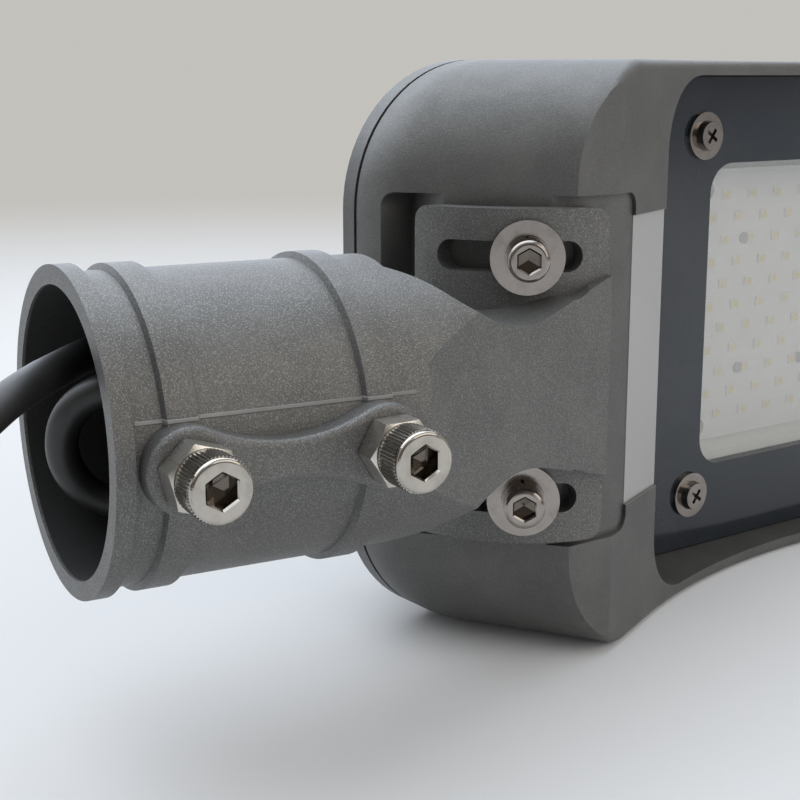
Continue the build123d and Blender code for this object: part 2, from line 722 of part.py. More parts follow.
# Gland in the roof of the boss
gland_x = 12.0
gland_low = boss_roof - 3.5
with BuildPart() as cable_gland:
    with BuildSketch(level(gland_low)):
        with Locations((gland_x, 0)):
            Circle(10.0)
    extrude(amount=boss_roof - gland_low - 0.02)
    with BuildSketch(level(gland_low)):
        with Locations((gland_x, 0)):
            Circle(8.0)
    extrude(amount=15)
    with BuildSketch(level(gland_low)):
        with Locations((gland_x, 0)):
            Circle(lead_radius + 0.15)
    extrude(amount=16, mode=Mode.SUBTRACT)
cable_gland.part.label = "cable_gland"
export_step(cable_gland.part, "parts/cable_gland.step")
with BuildPart() as gland_nut:
    with BuildSketch(level(tray_level + 0.02)):
        with Locations((gland_x, 0)):
            RegularPolygon(12.0, 6)
            Circle(8.05, mode=Mode.SUBTRACT)
    extrude(amount=5)
gland_nut.part.label = "gland_nut"
export_step(gland_nut.part, "parts/gland_nut.step")

# Supply lead, from the gland to its bare end
lead_start = arm.from_local_coords((-25, -24.27, 0))
start_here = middle.to_local_coords(lead_start)
corner_y = start_here.Y + (gland_x - start_here.X) * tan(radians(19.27 - tilt_rest))
with BuildPart() as inner_lead:
    with BuildLine(middle) as inner_path:
        FilletPolyline((start_here.X, start_here.Y), (gland_x, corner_y), (gland_x, gland_low - 0.05), radius=14)
    with BuildSketch(Plane(origin=inner_path.wire() @ 0, z_dir=inner_path.wire() % 0)):
        Circle(lead_radius)
    sweep()
inner_lead.part.label = "inner_lead"
export_step(inner_lead.part, "parts/inner_lead.step")
hole_way = arm.x_dir * -0.944 + arm.y_dir * -0.330
exit_way = arm.x_dir * -0.6 + arm.y_dir * -0.8
floor_z = lead_radius - half_width
socket_spots = [
    (68, -7.43, 0), (60, -10.2, 0), (51, -12.5, -6), (41, -10, -15), (31, -1, -21), (21, 10.5, -22.5), (11, 16.5, -20),
    (4.5, 17, -11.5), (4, 14.5, -1), (10, 10.5, 6.2), (20, 3.5, 8.2), (31, -4.5, 8), (42, -11.5, 7.5), (52, -13.5, 8),
    (59.5, -6, 10.5), (60, 5, 12.8), (53.5, 15, 14.6), (43, 20.5, 15.4), (31, 21, 15.3), (19.5, 16.7, 15.1),
    (10.5, 8.8, 15), (4, 0.6, 15.05), (-2, -7.2, 15),
]
tail_spots = [
    (-2, -7.2, 15), (-10, -17.6, 14.93), (-21, -31.5, 13.5), (-36, -48, 7.5), (-51, -61.5, -5.5), (-65, -71.5, -24),
    (-78, -78.5, -44), (-92, -83.5, -60.5), (-108, -86.5, -69.8), (-126, -87, floor_z + 0.06), (-148, -83.5, floor_z + 0.05),
    (-169, -73.5, floor_z + 0.05), (-187, -58, floor_z + 0.05),
]
socket_line = [tube_spot(*spot) for spot in socket_spots]
tail_line = [tube_spot(*spot) for spot in tail_spots]
gap = (tail_line[1] - tail_line[0]).normalized() * 0.06
tail_line[0] = tail_line[0] + gap
socket_line = [lead_start] + socket_line[1:]
print("lead radii", [round(r, 1) for r in bends(socket_line)], [round(r, 1) for r in bends(tail_line)])
with BuildPart() as socket_lead:
    with BuildLine() as socket_path:
        FilletPolyline(*socket_line, radius=bends(socket_line))
    with BuildSketch(Plane(origin=socket_path.wire() @ 0, z_dir=socket_path.wire() % 0)):
        Circle(lead_radius)
    sweep()
socket_lead.part.label = "socket_lead"
export_step(socket_lead.part, "parts/socket_lead.step")
with BuildPart() as lead_tail:
    with BuildLine() as tail_path:
        FilletPolyline(*tail_line, radius=bends(tail_line))
    with BuildSketch(Plane(origin=tail_path.wire() @ 0, z_dir=tail_path.wire() % 0)):
        Circle(lead_radius)
    sweep()
lead_tail.part.label = "lead_tail"
export_step(lead_tail.part, "parts/lead_tail.step")
end_spot = tail_path.wire() @ 1
end_way = tail_path.wire() % 1
print("lead", socket_path.wire().length, tail_path.wire().length, lead_tail.part.bounding_box())
with BuildPart() as lead_cores:
    with BuildSketch(Plane(origin=end_spot + end_way * 0.15, x_dir=(0, 0, 1), z_dir=end_way)):
        with PolarLocations(1.55, 3):
            Circle(1.1)
    extrude(amount=22)
lead_cores.part.label = "lead_cores"
export_step(lead_cores.part, "parts/lead_cores.step")
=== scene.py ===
import math

import bpy
import bmesh
from mathutils import Matrix, Vector


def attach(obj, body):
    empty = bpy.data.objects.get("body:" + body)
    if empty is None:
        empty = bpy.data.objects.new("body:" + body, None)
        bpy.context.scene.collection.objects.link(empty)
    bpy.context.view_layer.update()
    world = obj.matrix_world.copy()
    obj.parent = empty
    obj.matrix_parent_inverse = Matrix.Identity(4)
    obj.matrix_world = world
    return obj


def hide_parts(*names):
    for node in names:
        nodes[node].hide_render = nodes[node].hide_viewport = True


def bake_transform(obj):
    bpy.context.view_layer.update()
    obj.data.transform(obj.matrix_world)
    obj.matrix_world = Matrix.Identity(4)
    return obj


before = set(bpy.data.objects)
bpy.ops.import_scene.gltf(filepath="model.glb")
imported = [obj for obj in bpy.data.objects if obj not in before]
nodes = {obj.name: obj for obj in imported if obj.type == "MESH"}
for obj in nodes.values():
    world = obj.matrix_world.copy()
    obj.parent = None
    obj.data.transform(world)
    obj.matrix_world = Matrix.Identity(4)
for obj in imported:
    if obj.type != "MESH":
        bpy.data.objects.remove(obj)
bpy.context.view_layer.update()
print("frame loaded,", len(nodes), "nodes")

# where the tilt axis and the arm lie, as in the part's source: metres, and degrees for the arm's turn
layout = {
    "tiltAxis": (-0.0617952, 0.0102067, 0.0765), "armTurn": 7.2, "tubeDrop": 0.0309, "mouthReach": 0.1332,
}
armTurn = math.radians(layout["armTurn"])
tiltSpot = Vector(layout["tiltAxis"])
alongTube = Vector((math.cos(armTurn), -math.sin(armTurn), 0))
outOfTube = Vector((-math.sin(armTurn), -math.cos(armTurn), 0))
upright = Vector((0, 0, 1))


def tubeSpot(run, off, height):
    # millimetres along the tube from its mouth, towards the cover, and up from the middle
    reach = run / 1000 - layout["mouthReach"]
    drop = off / 1000 - layout["tubeDrop"]
    return tiltSpot + alongTube * reach - outOfTube * drop + Vector((0, 0, height / 1000))


def headSpot(x, y, z):
    # millimetres from the tilt axis
    return tiltSpot + Vector((x, y, z)) / 1000


# camera at the photograph's angle
cameraSetup = {
    "fromMouth": (-0.1184, -0.2809, 0.0723), "yaw": 53.87, "pitch": 12.4,
    "lens": 66.33, "sensor": 36.0, "clipStart": 0.01,
}
mouth = tubeSpot(0, 0, 0)
cameraData = bpy.data.cameras.new("photoCamera")
cameraData.sensor_fit = "HORIZONTAL"
cameraData.sensor_width = cameraSetup["sensor"]
cameraData.lens = cameraSetup["lens"]
cameraData.clip_start = cameraSetup["clipStart"]
camera = bpy.data.objects.new("photoCamera", cameraData)
bpy.context.collection.objects.link(camera)
yaw, pitch = math.radians(cameraSetup["yaw"]), math.radians(cameraSetup["pitch"])
sightLine = Vector((math.cos(pitch) * math.cos(yaw), math.cos(pitch) * math.sin(yaw), -math.sin(pitch)))
camera.location = mouth + Vector(cameraSetup["fromMouth"])
camera.rotation_euler = sightLine.to_track_quat("-Z", "Y").to_euler()
bpy.context.scene.camera = camera
bpy.context.scene.view_settings.view_transform = "Standard"
print("camera set at", [round(v, 4) for v in camera.location])


# a wrapped socket whose operators add Math nodes
class Sock:
    def __init__(self, tree, out):
        self.tree = tree
        self.out = out

    def maths(self, operation, other=None, swap=False):
        node = self.tree.nodes.new("ShaderNodeMath")
        node.operation = operation
        for place, value in enumerate([other, self] if swap else [self, other]):
            if isinstance(value, Sock):
                self.tree.links.new(value.out, node.inputs[place])
            elif value is not None:
                node.inputs[place].default_value = value
        return Sock(self.tree, node.outputs[0])

    def __add__(self, other):
        return self.maths("ADD", other)

    def __radd__(self, other):
        return self.maths("ADD", other, True)

    def __sub__(self, other):
        return self.maths("SUBTRACT", other)

    def __rsub__(self, other):
        return self.maths("SUBTRACT", other, True)

    def __mul__(self, other):
        return self.maths("MULTIPLY", other)

    def __rmul__(self, other):
        return self.maths("MULTIPLY", other, True)

    def __abs__(self):
        return self.maths("ABSOLUTE")


class Web:
    def __init__(self, tree):
        self.tree = tree

    def add(self, kind, settings=None, out=0, **values):
        # any node: its type, its settings first, then its sockets by name or as i0, i1 for a number
        node = self.tree.nodes.new(kind)
        for key, value in (settings or {}).items():
            setattr(node, key, value)
        for key, value in values.items():
            numbered = key[0] == "i" and key[1:].isdigit()
            socket = node.inputs[int(key[1:])] if numbered else node.inputs[key.replace("_", " ")]
            for one in value if isinstance(value, list) else [value]:
                if isinstance(one, Sock):
                    self.tree.links.new(one.out, socket)
                else:
                    socket.default_value = one
        return Sock(self.tree, node.outputs[out])

    def ease(self, value, low, high):
        settings = {"interpolation_type": "SMOOTHSTEP"}
        return self.add("ShaderNodeMapRange", settings, i0=value, i1=low, i2=high, i3=0.0, i4=1.0)

    def tint(self, mask, first, second):
        return self.add("ShaderNodeMix", {"data_type": "RGBA"}, out=2, i0=mask, i6=first, i7=second)

    def vector(self, operation, first, second=None, out=0):
        sides = {"i0": first} if second is None else {"i0": first, "i1": second}
        return self.add("ShaderNodeVectorMath", {"operation": operation}, out=out, **sides)


class Finish(Web):
    def __init__(self, name):
        self.material = bpy.data.materials.new(name)
        self.material.use_nodes = True
        super().__init__(self.material.node_tree)
        self.shader = next(n for n in self.tree.nodes if n.type == "BSDF_PRINCIPLED")
        self.place = self.add("ShaderNodeTexCoord", out=3)  # Object coordinates

    def feed(self, **values):
        for key, value in values.items():
            socket = self.shader.inputs[key.replace("_", " ")]
            if isinstance(value, Sock):
                self.tree.links.new(value.out, socket)
            else:
                socket.default_value = value
        return self.material

    def axis(self, which):
        return self.add("ShaderNodeSeparateXYZ", out=which, i0=self.place)

    def fromMiddle(self):
        # how far up or down from the part's middle
        return abs(self.axis(2) - tiltSpot.z)

    def noise(self, scale, detail=2.0, roughness=0.5):
        settings = {"Scale": scale, "Detail": detail, "Roughness": roughness}
        return self.add("ShaderNodeTexNoise", i0=self.place, **settings)

    def patches(self, noise, span):
        return self.ease(self.noise(*noise), *span)

    def between(self, value, low, high, soft):
        return self.ease(value, low - soft, low + soft) * (1 - self.ease(value, high - soft, high + soft))

    def pit(self, spot, inward, radius, low, high, rim=0.0002, soft=0.0003):
        # a mask of what lies inside a round hole, from its mouth inwards
        away = self.vector("SUBTRACT", self.place, tuple(spot))
        deep = self.vector("DOT_PRODUCT", away, tuple(inward), out=1)
        aside = self.vector("LENGTH", self.vector("CROSS_PRODUCT", away, tuple(inward)), out=1)
        return (1 - self.ease(aside, radius, radius + rim)) * self.between(deep, low, high, soft)

    def bump(self, height, strength, distance):
        return self.add("ShaderNodeBump", i0=strength, i1=distance, Height=height)


# grey powder coat over a casting: fine light flecks, a faint mottle, a pimpled surface
# a noise is its scale, detail and roughness, a span is where its patches begin and where they are full
castLook = {
    "base": (0.108, 0.108, 0.105, 1), "mottle": (0.13, 0.129, 0.125, 1), "fleck": (0.36, 0.355, 0.34, 1),
    "rough": 0.4, "metal": 0.5, "bump": 0.45,
    "grainNoise": (2300.0, 2.5, 0.6), "grainDepth": 0.00016, "grainRough": 0.16,
    "fleckNoise": (3400.0, 1.0, 0.5), "fleckSpan": (0.47, 0.7), "fleckMetal": 0.2, "fleckBump": 0.7,
    "mottleNoise": (70.0, 3.0, 0.6), "mottleSpan": (0.35, 0.7),
}
# a painted highlight on the ramp beside the pocket: a pale, more metallic strip where light glints
# millimetres from the tilt axis, soft edges in metres
rampHighlight = {
    "from": 13.4, "to": 34.2, "half": 37.9, "below": -14.0, "soft": 0.0004, "softBelow": 0.001,
    "colour": (0.46, 0.46, 0.455, 1), "rough": 0.38, "metal": 0.45,
}
# the light cavity, painted white inside, in the same units
lightBox = {
    "from": 81.0, "to": 242.0, "half": 48.6, "low": 17.9, "high": 26.1, "soft": 0.0003, "softLow": 0.0002,
    "colour": (0.8, 0.8, 0.78, 1),
}
# the socket inside: rougher, and darkened as painted shade from just within its mouth to its depth; metres
# from its mouth
boreShade = {
    "radius": 0.03105, "from": 0.0006, "to": 0.0675, "colour": (0.03, 0.03, 0.029, 1), "rough": 0.75,
}


def castFinish(name, fleckShare, highlightStrip=None, bore=None, box=None):
    finish = Finish(name)
    grain = finish.noise(*castLook["grainNoise"])
    fleck = finish.patches(castLook["fleckNoise"], castLook["fleckSpan"])
    mottle = finish.patches(castLook["mottleNoise"], castLook["mottleSpan"])
    tone = finish.tint(mottle, castLook["base"], castLook["mottle"])
    tone = finish.tint(fleck * fleckShare, tone, castLook["fleck"])
    rough = castLook["rough"] + grain * castLook["grainRough"]
    metal = fleck * castLook["fleckMetal"] + castLook["metal"]
    # painted highlight: the ramp strip is paler and more metallic than the coat
    if highlightStrip:
        start, stop = headSpot(highlightStrip["from"], highlightStrip["below"], 0), headSpot(highlightStrip["to"], 0, 0)
        half, soft = highlightStrip["half"] / 1000, highlightStrip["soft"]
        highlightMask = finish.between(finish.axis(0), start.x, stop.x, soft)
        highlightMask = highlightMask * (1 - finish.ease(finish.fromMiddle(), half - soft, half + soft))
        highlightMask = highlightMask * (1 - finish.ease(finish.axis(1), start.y - highlightStrip["softBelow"], start.y))
        tone = finish.tint(highlightMask, tone, highlightStrip["colour"])
        rough = rough * (1 - highlightMask) + highlightMask * highlightStrip["rough"]
        metal = metal * (1 - highlightMask) + highlightMask * highlightStrip["metal"]
    if box:
        start, stop = headSpot(box["from"], box["low"], 0), headSpot(box["to"], box["high"], 0)
        half, soft = box["half"] / 1000, box["soft"]
        white = finish.between(finish.axis(0), start.x, stop.x, soft)
        white = white * finish.between(finish.axis(1), start.y, stop.y, box["softLow"])
        white = white * (1 - finish.ease(finish.fromMiddle(), half, half + soft))
        tone = finish.tint(white, tone, box["colour"])
        metal = metal * (1 - white)
    # painted shade inside the socket's bore
    if bore:
        inside = finish.pit(mouth, alongTube, bore["radius"], bore["from"], bore["to"])
        tone = finish.tint(inside, tone, bore["colour"])
        rough = rough * (1 - inside) + inside * bore["rough"]
    strength = castLook["bump"] + castLook["fleckBump"] * fleckShare
    pimples = finish.bump(grain, strength, castLook["grainDepth"])
    return finish.feed(Base_Color=tone, Roughness=rough, Metallic=metal, Normal=pimples)


# plated and plain steel, clouded, with painted shade darkening the screws' sockets inside
steelLook = {
    "cloudNoise": (170.0, 3.0, 0.6), "cloudSpan": (0.42, 0.75), "cloudShare": 0.5, "cloudRough": 0.05,
    "dull": 0.55,
    "fineNoise": (1500.0, 2.0, 0.6), "fineRough": 0.08, "fineBump": 0.1, "fineDepth": 0.00004,
    "pitFrom": 0.0007, "pitTo": 0.006, "pitShadeColour": (0.15, 0.13, 0.11, 1),
}


def steelFinish(name, base, rough, pits=(), pitRadius=0.0):
    finish = Finish(name)
    cloud = finish.patches(steelLook["cloudNoise"], steelLook["cloudSpan"])
    fine = finish.noise(*steelLook["fineNoise"])
    dull = tuple(steelLook["dull"] * c for c in base[:3]) + (1,)
    tone = finish.tint(cloud * steelLook["cloudShare"], base, dull)
    # painted shade inside each socket
    for spot, inward in pits:
        inside = finish.pit(spot, inward, pitRadius, steelLook["pitFrom"], steelLook["pitTo"])
        tone = finish.tint(inside, tone, steelLook["pitShadeColour"])
    return finish.feed(
        Base_Color=tone, Metallic=1.0,
        Roughness=rough + fine * steelLook["fineRough"] + cloud * steelLook["cloudRough"],
        Normal=finish.bump(fine, steelLook["fineBump"], steelLook["fineDepth"]),
    )


# paint, rubber, plastic and board: two close colours in soft clouds, and a fine grain
coatLook = {"cloudNoise": (80.0, 3.0, 0.55), "cloudSpan": (0.35, 0.7), "fineRough": 0.1, "fineBump": 0.25}


def coatFinish(name, base, rough, second, grainScale=1400.0, depth=0.00003, coat=0.0, metal=0.0):
    finish = Finish(name)
    cloud = finish.patches(coatLook["cloudNoise"], coatLook["cloudSpan"])
    fine = finish.noise(grainScale)
    return finish.feed(
        Base_Color=finish.tint(cloud, base, second), Roughness=rough + fine * coatLook["fineRough"],
        Metallic=metal, Coat_Weight=coat, Normal=finish.bump(fine, coatLook["fineBump"], depth),
    )


# see-through sheets, a little smeared
clearLook = {"smearNoise": (30.0, 3.0, 0.6), "smearRough": 0.03, "smearCover": 0.04, "specular": 0.8}


def clearFinish(name, base, cover, rough):
    finish = Finish(name)
    smear = finish.noise(*clearLook["smearNoise"])
    return finish.feed(
        Base_Color=base, Roughness=rough + smear * clearLook["smearRough"],
        Alpha=cover + smear * clearLook["smearCover"], Specular_IOR_Level=clearLook["specular"],
    )


# clamp screws: runs along the tube and height in millimetres, the rest in metres from the tube's middle
clampScrews = {
    "runs": {"near": 14.0, "far": 56.3}, "height": -1.3, "seat": 0.0452,
    "radius": 0.0063, "tall": 0.008, "round": 0.0008,
    "socket": 0.006, "socketDeep": 0.0045, "pitRadius": 0.00355,
    "shaft": 0.004, "shaftLow": 0.03064, "thread": 0.00125,
    "ridges": 54, "ridgeSides": 4, "ridgeFrom": 0.0004, "ridgeLength": 0.0062, "ridgeStand": 0.00026,
}
# pivot screws: degrees round the tilt axis, the rest in metres from that axis
pivotScrews = {
    "angle": 52.0, "fromMiddle": 0.03, "seat": 0.0404,
    "radius": 0.005, "tall": 0.006, "round": 0.0011,
    "socket": 0.005, "socketDeep": 0.0032, "pitRadius": 0.0029,
    "shaft": 0.003, "shaftLow": 0.018, "thread": 0.001,
}
pivotLean = math.radians(pivotScrews["angle"])
pivotOut = Vector((-math.cos(pivotLean), -math.sin(pivotLean), 0))


def clampSpot(which, reach):
    return tubeSpot(clampScrews["runs"][which], -1000 * reach, clampScrews["height"])


def pivotSpot(side, reach):
    return tiltSpot + pivotOut * reach + upright * side * pivotScrews["fromMiddle"]


# their sockets, which get painted shade inside: each a spot on the head's face and the way in
clampFace = clampScrews["seat"] + clampScrews["tall"]
pivotFace = pivotScrews["seat"] + pivotScrews["tall"]
clampPits = [(clampSpot(which, clampFace), -outOfTube) for which in clampScrews["runs"]]
pivotPits = [(pivotSpot(side, pivotFace), -pivotOut) for side in (-1, 1)]

looks = {
    "housing": castFinish("castHousing", 0.22, highlightStrip=rampHighlight, box=lightBox),
    "cover": castFinish("castCover", 0.22),
    "bracket": castFinish("castBracket", 0.5, bore=boreShade),
    "frame": coatFinish(
        "gunmetalEnamel", (0.015, 0.02, 0.028, 1), 0.09, (0.02, 0.025, 0.033, 1), 900.0, 0.00001, coat=0.2,
    ),
    "glass": clearFinish("clearGlass", (0.8, 0.82, 0.82, 1), 0.14, 0.02),
    "lens": clearFinish("clearLensSheet", (0.84, 0.84, 0.82, 1), 0.2, 0.25),
    # the clamp screws' plating is darker than the nuts' as painted shade, for the darker reflection on
    # their heads
    "steel": steelFinish(
        "brightPlating", (0.46, 0.43, 0.385, 1), 0.08, clampPits, clampScrews["pitRadius"],
    ),
    "nut": steelFinish("nutPlating", (0.6, 0.575, 0.53, 1), 0.24),
    "stainless": steelFinish(
        "stainless", (0.32, 0.29, 0.265, 1), 0.11, pivotPits, pivotScrews["pitRadius"],
    ),
    "seal": coatFinish("sealRubber", (0.02, 0.02, 0.02, 1), 0.6, (0.028, 0.028, 0.028, 1)),
    "board": coatFinish("whiteMask", (0.84, 0.84, 0.82, 1), 0.4, (0.86, 0.86, 0.84, 1)),
    "chipBody": coatFinish("chipBody", (0.8, 0.79, 0.74, 1), 0.45, (0.84, 0.83, 0.78, 1)),
    "phosphor": coatFinish("phosphor", (0.84, 0.66, 0.16, 1), 0.5, (0.88, 0.72, 0.22, 1)),
    "driver": coatFinish("driverCase", (0.55, 0.55, 0.55, 1), 0.35, (0.62, 0.62, 0.62, 1), metal=0.6),
    "grey": coatFinish("boardScrew", (0.16, 0.16, 0.16, 1), 0.4, (0.2, 0.2, 0.2, 1), metal=0.5),
    "dark": coatFinish("darkNylon", (0.03, 0.03, 0.03, 1), 0.45, (0.04, 0.04, 0.04, 1)),
    "pale": coatFinish("paleNylon", (0.72, 0.72, 0.69, 1), 0.45, (0.77, 0.77, 0.74, 1)),
    "lead": coatFinish(
        "leadJacket", (0.013, 0.013, 0.013, 1), 0.38, (0.02, 0.02, 0.019, 1), 2200.0, 0.00005,
    ),
    # painted highlight: a paler, more metallic tone for the parting line's ridge, where light catches it
    "ridgeHighlight": coatFinish(
        "wornCast", (0.2, 0.2, 0.195, 1), 0.4, (0.27, 0.27, 0.26, 1), 2300.0, 0.00006, metal=0.4,
    ),
    "copper": steelFinish("tinnedCopper", (0.6, 0.4, 0.25, 1), 0.3),
}
wear = {
    "housing": "housing", "top_cover": "cover", "bracket": "bracket", "cover_gasket": "seal",
    "cover_screws": "stainless", "panel_frame": "frame", "window_glass": "glass", "panel_gasket": "seal",
    "panel_screws": "stainless", "led_board": "board", "led_chips": "phosphor", "lens_plate": "lens",
    "board_screws": "stainless", "driver": "driver", "driver_screws": "stainless", "terminal_block": "pale",
    "surge_protector": "dark", "cable_gland": "dark", "gland_nut": "dark", "pivot_screws": "stainless",
    "pivot_spring_washers": "stainless", "pivot_washers": "stainless", "clamp_screw_near": "steel",
    "lock_nut_near": "steel", "clamp_screw_far": "steel", "lock_nut_far": "steel", "lead_cores": "copper",
    "inner_lead": "lead", "socket_lead": "lead", "lead_tail": "lead",
}
for nodeName, finishName in wear.items():
    nodeMesh = nodes[nodeName].data
    nodeMesh.materials.clear()
    nodeMesh.materials.append(looks[finishName])
print("finishes on", len(wear), "nodes")


def routeCurve(name, spots, radius=0.0, order=3, steps=8, roundSteps=6):
    curve = bpy.data.curves.new(name, "CURVE")
    curve.dimensions = "3D"
    spline = curve.splines.new("NURBS")
    spline.points.add(len(spots) - 1)
    for point, spot in zip(spline.points, spots):
        point.co = (*spot, 1)
    spline.order_u = order
    spline.use_endpoint_u = True
    spline.resolution_u = steps
    curve.bevel_depth = radius
    curve.bevel_resolution = roundSteps
    curve.use_fill_caps = radius > 0
    piece = bpy.data.objects.new(name, curve)
    bpy.context.collection.objects.link(piece)
    return piece


def finishMesh(piece, name):
    # the evaluated piece as a plain mesh of its own
    bpy.context.view_layer.update()
    depsgraph = bpy.context.evaluated_depsgraph_get()
    mesh = bpy.data.meshes.new_from_object(piece.evaluated_get(depsgraph))
    bpy.data.objects.remove(piece)
    mesh.name = name
    return mesh


def skinMesh(name, finishName, rows, around=False, closed=True, capped=False, smooth=False, merge=1e-7):
    # rows of points joined to a skin: around joins the last row to the first, closed joins each row's ends
    web = bmesh.new()
    rings = [[web.verts.new(spot) for spot in row] for row in rows]
    for first, second in zip(rings, rings[1:] + rings[:1] if around else rings[1:]):
        for place in range(len(first) if closed else len(first) - 1):
            after = (place + 1) % len(first)
            web.faces.new((first[place], second[place], second[after], first[after])).smooth = smooth
    if capped:
        web.faces.new(rings[0])
        web.faces.new(rings[-1])
    bmesh.ops.remove_doubles(web, verts=web.verts, dist=merge)
    bmesh.ops.recalc_face_normals(web, faces=web.faces)
    mesh = bpy.data.meshes.new(name)
    web.to_mesh(mesh)
    web.free()
    mesh.materials.append(looks[finishName])
    return mesh


def linkPiece(mesh):
    piece = bpy.data.objects.new(mesh.name, mesh)
    bpy.context.collection.objects.link(piece)
    return piece


def addPiece(mesh, body, slotName, *replaced):
    piece = linkPiece(mesh)
    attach(piece, body)
    if replaced:
        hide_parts(*replaced)
    return piece


# the supply lead, one smooth line from the neck's hole to its bare end: route as in tubeSpot
supplyLead = {
    "diameter": 0.0073, "length": 0.552,
    "route": [
        (108.2, 6.63, 0), (60, -10.2, 0), (51, -12.5, -6), (41, -10, -15), (31, -1, -21),
        (21, 10.5, -22.5), (11, 16.5, -20), (4.5, 17, -11.5), (4, 14.5, -1), (10, 10.5, 6.2),
        (20, 3.5, 8.2), (31, -4.5, 8), (42, -11.5, 7.5), (52, -13.5, 8), (59.5, -6, 10.5),
        (60, 5, 12.8), (53.5, 15, 14.6), (43, 20.5, 15.4), (31, 21, 15.3), (19.5, 16.7, 15.1),
        (10.5, 8.8, 15), (4, 0.6, 15.05), (-2, -7.2, 15), (-10, -17.6, 14.93), (-21, -31.5, 13.5),
        (-36, -48, 7.5), (-51, -61.5, -5.5), (-65, -71.5, -24), (-78, -78.5, -44),
        (-92, -83.5, -60.5), (-108, -86.5, -69.8), (-126, -87, -72.79), (-148, -83.5, -72.8),
        (-169, -73.5, -72.8), (-187, -58, -72.8),
    ],
}
leadSpots = [tubeSpot(*spot) for spot in supplyLead["route"]]
leadPiece = routeCurve("supplyLead", leadSpots, supplyLead["diameter"] / 2)
leadPiece.data.materials.append(looks["lead"])
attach(leadPiece, "bracket")
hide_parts("socket_lead", "lead_tail")
print("supply lead laid through", len(leadSpots), "points")

# its last stretch, from the neck to the gland: route as in headSpot
innerLead = {"route": [(-27.84, -20.95, 0), (12, -12.43, 0), (12, 4.45, 0)], "radius": 0.00365, "sides": 16}
innerSpots = [headSpot(*spot) for spot in innerLead["route"]]
innerLine = finishMesh(routeCurve("innerLeadRoute", innerSpots), "innerLeadLine")
linePoints = [v.co.copy() for v in innerLine.vertices]
bpy.data.meshes.remove(innerLine)
innerRows = []
for place, spot in enumerate(linePoints):
    ahead = linePoints[min(place + 1, len(linePoints) - 1)] - linePoints[max(place - 1, 0)]
    sideways = ahead.cross(upright).normalized()
    ring = []
    for step in range(innerLead["sides"]):
        angle = 2 * math.pi * step / innerLead["sides"]
        ring.append(spot + innerLead["radius"] * (sideways * math.cos(angle) + upright * math.sin(angle)))
    innerRows.append(ring)
innerPiece = linkPiece(skinMesh("innerLead", "lead", innerRows, capped=True, smooth=True))
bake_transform(innerPiece)
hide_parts("inner_lead")
print("inner lead bends between bracket and head,", len(linePoints), "rings")


class Layout(Web):
    # a Geometry Nodes tree with named inputs, run once and made a plain mesh
    def __init__(self, name, sizes):
        super().__init__(bpy.data.node_groups.new(name, "GeometryNodeTree"))
        self.name = name
        self.sizes = sizes
        self.sockets = {}
        face = self.tree.interface
        face.new_socket("Geometry", in_out="OUTPUT", socket_type="NodeSocketGeometry")
        for label, value in sizes.items():
            kind = "NodeSocketInt" if isinstance(value, int) else "NodeSocketFloat"
            self.sockets[label] = face.new_socket(label, in_out="INPUT", socket_type=kind).identifier
        self.entry = self.tree.nodes.new("NodeGroupInput")

    def size(self, label):
        return Sock(self.tree, self.entry.outputs[label])

    def spread(self, points, shape, finishName, **turn):
        many = self.add("GeometryNodeInstanceOnPoints", Points=points, Instance=shape, **turn)
        whole = self.add("GeometryNodeRealizeInstances", Geometry=many)
        return self.add("GeometryNodeSetMaterial", Geometry=whole, Material=looks[finishName])

    def make(self, shape, place, body, slotName, *replaced):
        out = self.tree.nodes.new("NodeGroupOutput")
        self.tree.links.new(shape.out, out.inputs[0])
        holder = linkPiece(bpy.data.meshes.new(self.name + "Layout"))
        modifier = holder.modifiers.new(self.name, "NODES")
        modifier.node_group = self.tree
        for label, value in self.sizes.items():
            modifier[self.sockets[label]] = value
        mesh = finishMesh(holder, self.name)
        mesh.transform(place)
        return addPiece(mesh, body, slotName, *replaced)


def facing(spot, out, side):
    # local z along out, local x along side
    out, side = out.normalized(), side.normalized()
    return Matrix.Translation(spot) @ Matrix((side, out.cross(side), out)).transposed().to_4x4()


def hexReach(half, angle):
    # from the middle of a hexagon to its edge
    return half / math.cos((angle % (math.pi / 3)) - math.pi / 6)


def turnedRows(profileAt, steps):
    # a profile of radii and heights for each step of a turn
    rows = []
    for step in range(steps):
        angle = 2 * math.pi * step / steps
        rows.append([(r * math.cos(angle), r * math.sin(angle), z) for r, z in profileAt(angle)])
    return rows


# what the socket head screws share
screwCut = {"steps": 72, "rimSteps": 6, "threadDeep": 0.0006, "socketEdge": 0.0004, "socketCone": 0.0006}


def socketScrew(name, finishName, sizes):
    # standing on its seat, with a rounded rim, a hex socket and a thread
    tall, radius, soft = sizes["tall"], sizes["radius"], sizes["round"]
    crest, root = sizes["shaft"], sizes["shaft"] - screwCut["threadDeep"]
    low, deep = sizes["shaftLow"] - sizes["seat"], tall - sizes["socketDeep"]
    outer = [(0.0, low)]
    for turn in range(int(-low / sizes["thread"])):
        height = low + turn * sizes["thread"]
        outer += [(root, height), (crest, height + sizes["thread"] / 2)]
    outer += [(root, 0.0), (radius, 0.0)]
    for part in range(screwCut["rimSteps"]):
        lean = math.pi / 2 * part / (screwCut["rimSteps"] - 1)
        outer.append((radius - soft + soft * math.cos(lean), tall - soft + soft * math.sin(lean)))

    def profileAt(angle):
        reach, edge = hexReach(sizes["socket"] / 2, angle), screwCut["socketEdge"]
        bottom = (0.0, deep - screwCut["socketCone"])
        return outer + [(reach + edge, tall), (reach, tall - edge), (reach, deep), bottom]

    return skinMesh(name, finishName, turnedRows(profileAt, screwCut["steps"]), around=True, closed=False)


